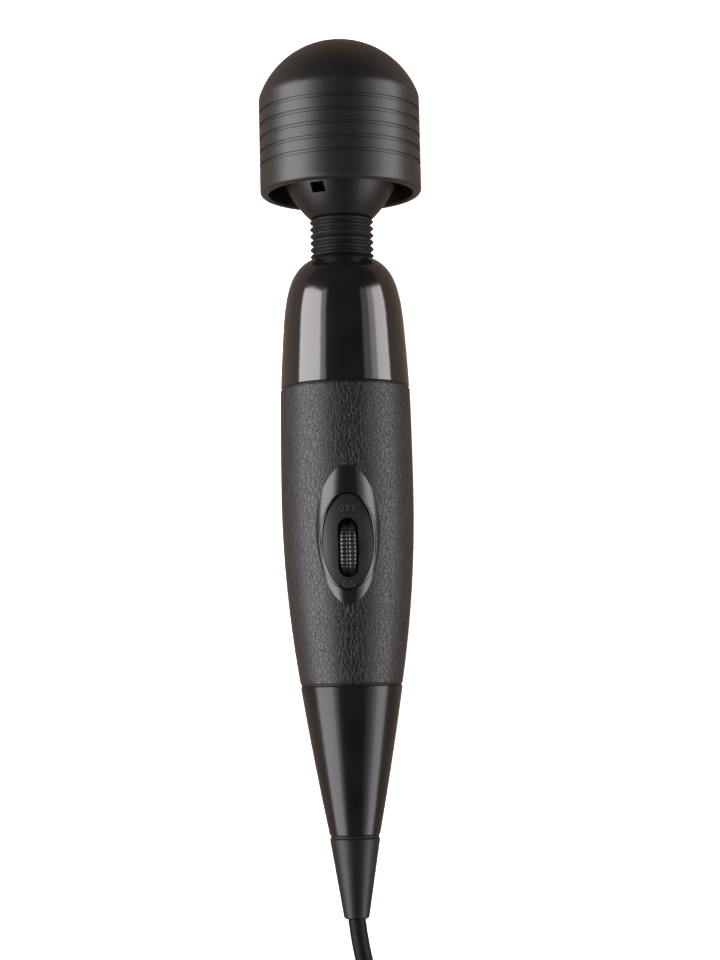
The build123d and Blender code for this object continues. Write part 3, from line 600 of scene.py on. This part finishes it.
# ---------------------------------------------------------------- lip round the switch plate
PLATE_STATION = 137.4 * MM
PLATE_HALF_WIDTH = 9.2 * MM
PLATE_HALF_LENGTH = 17.2 * MM
LIP_GAP = 0.85 * MM
LIP_RADIUS = 0.46 * MM


def mound_height(x, station):
    places = [place * MM for place, _ in MOUND_PROFILE]
    mound = float(np.interp(station, places, [radius * MM for _, radius in MOUND_PROFILE]))
    return MOUND_AXIS + math.sqrt(max(mound**2 - x**2, 0))


def make_lip(material):
    """A thin rounded edge that stands up from the mound all round the plate."""
    rings = []
    count, around = 160, 12
    for i in range(count):
        angle = 2 * math.pi * i / count
        x = (PLATE_HALF_WIDTH + LIP_GAP) * math.sin(angle)
        station = PLATE_STATION + (PLATE_HALF_LENGTH + LIP_GAP) * math.cos(angle)
        centre = Vector((x, station, mound_height(x, station)))
        outward = Vector((math.sin(angle), math.cos(angle), 0))
        ring = []
        for j in range(around):
            t = 2 * math.pi * j / around
            spot = centre + (outward * math.cos(t) + Vector((0, 0, 1)) * math.sin(t)) * LIP_RADIUS
            ring.append(WAND @ spot)
        rings.append(ring)
    mesh = grid_mesh("bezel_lip", rings + [rings[0]])
    merge(mesh, 1e-7)
    return new_piece("bezel_lip", mesh, material, "handle", [])


# Painted shade: dark rings that fill the hairline joints between parts.
SEAM_SHADE_RINGS = (
    ("relief_seam_shade_ring", 8.95 * MM, 29.4 * MM, 30.4 * MM),
    ("tail_seam_shade_ring", 18.6 * MM, 85.2 * MM, 85.9 * MM),
    ("collar_seam_shade_ring", 23.9 * MM, 195.9 * MM, 196.5 * MM),
)


def make_seam_shade_rings(material):
    """Dark rings that close the hairline joints: painted shade, a dark sheet put inside each joint to darken
    it.
    """
    for name, radius, low, high in SEAM_SHADE_RINGS:
        inner = radius - 1.2 * MM
        outline = [(radius, low), (radius, high), (inner, high), (inner, low)]
        new_piece(name, lathe(name, outline, 160), material, "handle", [])


LETTER_PROUD = 1.1 * MM


def pick_out_letters(plate, material):
    """The faces that stand above the plate's own surface take the letters' material."""
    plate.data.materials.append(material)
    last = len(plate.data.materials) - 1
    into_wand = WAND.inverted()
    for polygon in plate.data.polygons:
        centre = into_wand @ polygon.center
        if math.hypot(centre.x, centre.z) - grip_radius(centre.y) > LETTER_PROUD:
            polygon.material_index = last


# ---------------------------------------------------------------- cord
CORD_DIAMETER = 6.5 * MM
LIE = 3.3 * MM
COIL_CENTRE = Vector((-17.0, -256.0, 0)) * MM
COIL_RADII = (32.2 * MM, 38.7 * MM, 45.2 * MM)
COIL_LAYER = 6.55 * MM
TOP_RADIUS = 35.45 * MM
TOP_HEIGHT = 15.6 * MM
TOP_END = 165
TAIL_RADIUS = 22.0 * MM
TAIL_END_ANGLE = 45
PLUG_HEIGHT = 20.3 * MM
TIE_ANGLE = 225
TIE_LIFT = 1.1 * MM
LEAD = (
    (1.6, -179.5, 17.3),
    (7.5, -196.0, 11.5),
    (16.5, -214.0, 6.0),
    (24.8, -231.0, 3.6),
    (27.9, -244.0, 3.3),
)
STEP = 12


def ease(value, start, stop):
    share = min(max((value - start) / (stop - start), 0), 1)
    return share * share * (3 - 2 * share)


def coil_places():
    """Angle, radius and height along the coil: inwards, outwards a layer up, then part of a turn on top."""
    layers = [(radius, LIE) for radius in reversed(COIL_RADII)]
    layers += [(radius, LIE + COIL_LAYER) for radius in COIL_RADII]
    full = 360 * len(layers)
    for turned in range(0, full + 360 - TOP_END + 1, STEP):
        if turned < full:
            i, within = divmod(turned, 360)
            radius, height = layers[i]
            step_up = ease(within, 270, 360) if i + 1 < len(layers) else 0
            next_radius, next_height = layers[min(i + 1, len(layers) - 1)]
        else:
            radius, height = layers[-1]
            step_up = ease(turned - full, 48, 112)
            next_radius, next_height = TOP_RADIUS, TOP_HEIGHT
        radius += (next_radius - radius) * step_up
        height += (next_height - height) * step_up
        angle = -turned
        from_tie = abs((angle - TIE_ANGLE + 180) % 360 - 180)
        height += TIE_LIFT * (1 - ease(from_tie, 7, 40))
        yield math.radians(angle), radius, height


def round_point(angle, radius, height):
    return COIL_CENTRE + Vector((radius * math.cos(angle), radius * math.sin(angle), height))


def tail_points():
    """The last bend turns in from the top of the coil towards the plug."""
    pivot = round_point(math.radians(TOP_END), TOP_RADIUS - TAIL_RADIUS, 0)
    points = []
    for angle in range(TOP_END - STEP, TAIL_END_ANGLE - 1, -STEP):
        height = TOP_HEIGHT + (PLUG_HEIGHT - TOP_HEIGHT) * ease(angle, TOP_END, TAIL_END_ANGLE)
        turn = math.radians(angle)
        points.append(pivot + Vector((TAIL_RADIUS * math.cos(turn), TAIL_RADIUS * math.sin(turn), height)))
    return points


def make_cord(material):
    exit_point = wand_point(0, 0, 0)
    points = [exit_point] + [Vector(point) * MM for point in LEAD]
    points += [round_point(*place) for place in coil_places()]
    points += tail_points()
    curve = bpy.data.curves.new("power_cord", "CURVE")
    curve.dimensions = "3D"
    spline = curve.splines.new("NURBS")
    spline.points.add(len(points) - 1)
    for target, point in zip(spline.points, points):
        target.co = (*point, 1)
    spline.order_u = 3
    spline.use_endpoint_u = True
    spline.resolution_u = 5
    curve.bevel_depth = CORD_DIAMETER / 2
    curve.bevel_resolution = 7
    curve.use_fill_caps = True
    nodes = ["power_cord_lead", "power_cord_coil"]
    return new_piece("power_cord", curve, material, "handle", nodes), exit_point


TIE_SECTION = (
    (0.05, -4.8),
    (0.05, 4.8),
    (0.25, 5.0),
    (0.75, 5.0),
    (0.95, 4.8),
    (0.95, -4.8),
    (0.75, -5.0),
    (0.25, -5.0),
)
TAB_THICK = 0.7


def make_tie(material):
    """A strap wound round the turns, with its end lying over its start."""
    turns = [(r, z + TIE_LIFT) for r in COIL_RADII for z in (LIE, LIE + COIL_LAYER)]
    turns.append((TOP_RADIUS, TOP_HEIGHT + TIE_LIFT))
    direction = math.radians(TIE_ANGLE)
    outward = Vector((math.cos(direction), math.sin(direction), 0))
    sideways = Vector((-outward.y, outward.x, 0))
    rings = []
    for degree in range(0, 361, 3):
        t = math.radians(degree)
        r, z = max(turns, key=lambda turn: turn[0] * math.cos(t) + turn[1] * math.sin(t))
        tab = TAB_THICK if 50 < degree < 150 else 0
        ring = []
        for proud, across in TIE_SECTION:
            reach = CORD_DIAMETER / 2 + (proud + (tab if proud > 0.5 else 0)) * MM
            rise = Vector((0, 0, z + reach * math.sin(t)))
            middle = COIL_CENTRE + outward * (r + reach * math.cos(t)) + rise
            ring.append(middle + sideways * across * MM)
        rings.append(ring)
    mesh = grid_mesh("coil_tie", rings)
    merge(mesh, 1e-6)
    tie = new_piece("coil_tie", mesh, material, "handle", ["cord_tie"])
    bevel = tie.modifiers.new("soft edges", "BEVEL")
    bevel.width = 0.15 * MM
    bevel.segments = 2
    bevel.limit_method = "ANGLE"
    return tie


def spline_length(curve_object):
    bare = curve_object.data.copy()
    bare.bevel_depth = 0
    probe = bpy.data.objects.new("probe", bare)
    bpy.context.collection.objects.link(probe)
    bpy.context.view_layer.update()
    mesh = bpy.data.meshes.new_from_object(probe.evaluated_get(bpy.context.evaluated_depsgraph_get()))
    points = [v.co.copy() for v in mesh.vertices]
    bpy.data.objects.remove(probe)
    return sum((b - a).length for a, b in zip(points, points[1:]))


# ---------------------------------------------------------------- lights and floor
LIGHT_PIVOT = 0.03
PANEL_DISTANCE = 0.75
PANEL_LENGTH = 1.2
PANEL_MIDDLE = -0.1
WARM_BELOW = (0.33, 0.235, 0.17)
DARK_ABOVE = (0.021, 0.018, 0.021)


def softbox(name, angles, radiance, colour):
    """A panel along the wand, between two angles in degrees from straight above; positive is right."""
    low, high = (math.radians(angle) for angle in angles)
    across, centre = abs(high - low), (low + high) / 2
    width = 2 * PANEL_DISTANCE * math.tan(across / 2)
    data = bpy.data.lights.new(name, "AREA")
    data.shape = "RECTANGLE"
    data.size = width
    data.size_y = PANEL_LENGTH
    data.energy = radiance * math.pi * width * PANEL_LENGTH
    data.color = colour
    light = bpy.data.objects.new(name, data)
    bpy.context.collection.objects.link(light)
    away = ACROSS * math.sin(centre) + Vector((0, 0, 1)) * math.cos(centre)
    side = away.cross(Vector((0, 1, 0)))
    place = Matrix((side, Vector((0, 1, 0)), away)).transposed().to_4x4()
    place.translation = away * PANEL_DISTANCE + Vector((0, PANEL_MIDDLE, LIGHT_PIVOT))
    light.matrix_world = place


def make_world():
    """Dark above and warm below, so that the polish shows a dark middle and warm rims."""
    world = bpy.data.worlds.new("studio")
    bpy.context.scene.world = world
    world.use_nodes = True
    tree = world.node_tree
    coordinates = tree.nodes.new("ShaderNodeTexCoord")
    parts = tree.nodes.new("ShaderNodeSeparateXYZ")
    ramp = tree.nodes.new("ShaderNodeValToRGB")
    shift = tree.nodes.new("ShaderNodeMapRange")
    shift.inputs["From Min"].default_value = -1
    tree.links.new(coordinates.outputs["Generated"], parts.inputs["Vector"])
    tree.links.new(parts.outputs["Z"], shift.inputs["Value"])
    tree.links.new(shift.outputs["Result"], ramp.inputs["Fac"])
    tree.links.new(ramp.outputs["Color"], tree.nodes["Background"].inputs["Color"])
    low, high = ramp.color_ramp.elements
    low.position = 0.44
    low.color = (*WARM_BELOW, 1)
    high.position = 0.56
    high.color = (*DARK_ABOVE, 1)


STAGE_RADIUS = 9.0
DOME_RADIUS = 0.95 * STAGE_RADIUS
DOME_COUNT = 96
STAGE_GLOW = 0.8


def pale_surface(name):
    look = Shader(name, grey(0.9, 0.01), 0.75)
    look.set_colour(look.colours(look.noise(3, 2), (0.3, grey(0.89, 0.008)), (0.7, grey(0.92, 0.008))))
    look.surface.inputs["Emission Color"].default_value = (1, 1, 1, 1)
    look.surface.inputs["Emission Strength"].default_value = STAGE_GLOW
    return look.material


def make_stage():
    """A pale floor, and a pale dome that only the camera sees, so that the world still lights the wand."""
    mesh = bpy.data.meshes.new("floor")
    corners = [(x * STAGE_RADIUS, y * STAGE_RADIUS, 0) for x, y in ((-1, -1), (1, -1), (1, 1), (-1, 1))]
    mesh.from_pydata(corners, [], [(0, 1, 2, 3)])
    floor = bpy.data.objects.new("floor", mesh)
    bpy.context.collection.objects.link(floor)
    mesh.materials.append(pale_surface("pale floor"))
    floor.visible_glossy = False
    floor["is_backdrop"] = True

    rings = []
    for degree in range(-4, 91, 2):
        height = DOME_RADIUS * math.sin(math.radians(degree))
        reach = DOME_RADIUS * math.cos(math.radians(degree))
        turns = [2 * math.pi * j / DOME_COUNT for j in range(DOME_COUNT)]
        rings.append([(reach * math.cos(turn), reach * math.sin(turn), height) for turn in turns])
    dome_mesh = grid_mesh("backdrop", rings)
    dome_mesh.materials.append(pale_surface("pale backdrop"))
    dome = bpy.data.objects.new("backdrop", dome_mesh)
    bpy.context.collection.objects.link(dome)
    dome.visible_diffuse = False
    dome.visible_glossy = False
    dome.visible_shadow = False
    dome.visible_transmission = False
    dome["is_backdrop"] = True
    bpy.context.scene.view_settings.view_transform = "Standard"


def make_lights():
    softbox("left fringe", (-34, -44), 2.0, colour=(1.0, 0.95, 0.985))
    softbox("left", (-44, -89), 6.8, colour=(1.0, 0.955, 0.985))
    softbox("right fringe", (36, 50), 0.8, colour=(1.0, 0.94, 0.97))
    softbox("right inner", (50, 62), 2.4, colour=(1.0, 0.945, 0.965))
    softbox("right", (62, 89), 5.8, colour=(1.0, 0.945, 0.96))


# ---------------------------------------------------------------- build
make_camera()
cord, cord_exit = make_cord(cord_jacket())
LOOKS = {
    "soft_touch": soft_touch(),
    "core_plastic": core_plastic(),
    "black_rubber": black_rubber(),
    "piano_black": piano_black(),
    "satin_black": satin_black(),
    "plate_plastic": plate_plastic(),
    "inner_plastic": moulded("inner plastic", grey(0.07)),
    "machined_steel": metal("machined steel", grey(0.55), 0.2, 0.35),
    "spring_steel": metal("spring steel", grey(0.42), 0.25, 0.4),
    "black_screws": metal("oiled screws", grey(0.16), 0.3, 0.45),
    "zinc_sheet": metal("zinc sheet", (0.5, 0.5, 0.46), 0.3, 0.5, 120.0),
    "lamination_steel": laminations(),
    "copper_winding": wound_copper(),
    "carbon": moulded("pressed carbon", grey(0.03), 0.5, 0.7),
    "circuit_board": moulded("solder mask", (0.02, 0.12, 0.05), 0.3, 0.4),
    "component_plastic": moulded("component plastic", (0.05, 0.09, 0.25), 0.25, 0.35),
    "heat_sink_aluminium": metal("heat sink aluminium", grey(0.7), 0.3, 0.45),
    "wire_insulation": moulded("wire insulation", (0.2, 0.07, 0.03), 0.35, 0.45),
    "cord_jacket": cord.data.materials[0],
    "tie_fabric": woven_tie(),
    "plug_metal": metal("nickel plated blades", (0.75, 0.7, 0.6), 0.15, 0.28),
}
OWN_LOOKS = {
    "strain_relief": relief_plastic(),
    "thumbwheel": wheel_plastic(),
    "switch_bezel": bezel_black(),
}
tie = make_tie(LOOKS["tie_fabric"])
make_grip(grip_leather())
make_bellows(LOOKS["black_rubber"])
make_lip(LOOKS["piano_black"])
make_seam_shade_rings(LOOKS["black_rubber"])
split_bending_node("neck_support_spring", LOOKS["spring_steel"])
split_bending_node("flexible_drive_shaft", LOOKS["spring_steel"])

SLOT_OF = {part["node"]: part["material_slot"] for part in frame["record"]["subparts"]}
for node, slot_name in SLOT_OF.items():
    cad = bpy.data.objects.get(node)
    look = OWN_LOOKS.get(node) or LOOKS.get(slot_name)
    if cad is None or look is None:
        continue
    if not cad.material_slots:
        cad.data.materials.append(look)
    for material_slot in cad.material_slots:
        material_slot.material = look

pick_out_letters(frame["nodes"]["switch_plate"], letter_plastic())

make_world()
make_stage()
make_lights()
length = spline_length(cord)
print("cord length", round(length, 4))
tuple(cord_exit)
boxes = {"cad": cad_box, "visual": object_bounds()}
{name: [[float(c) for c in corner] for corner in box] for name, box in boxes.items()}
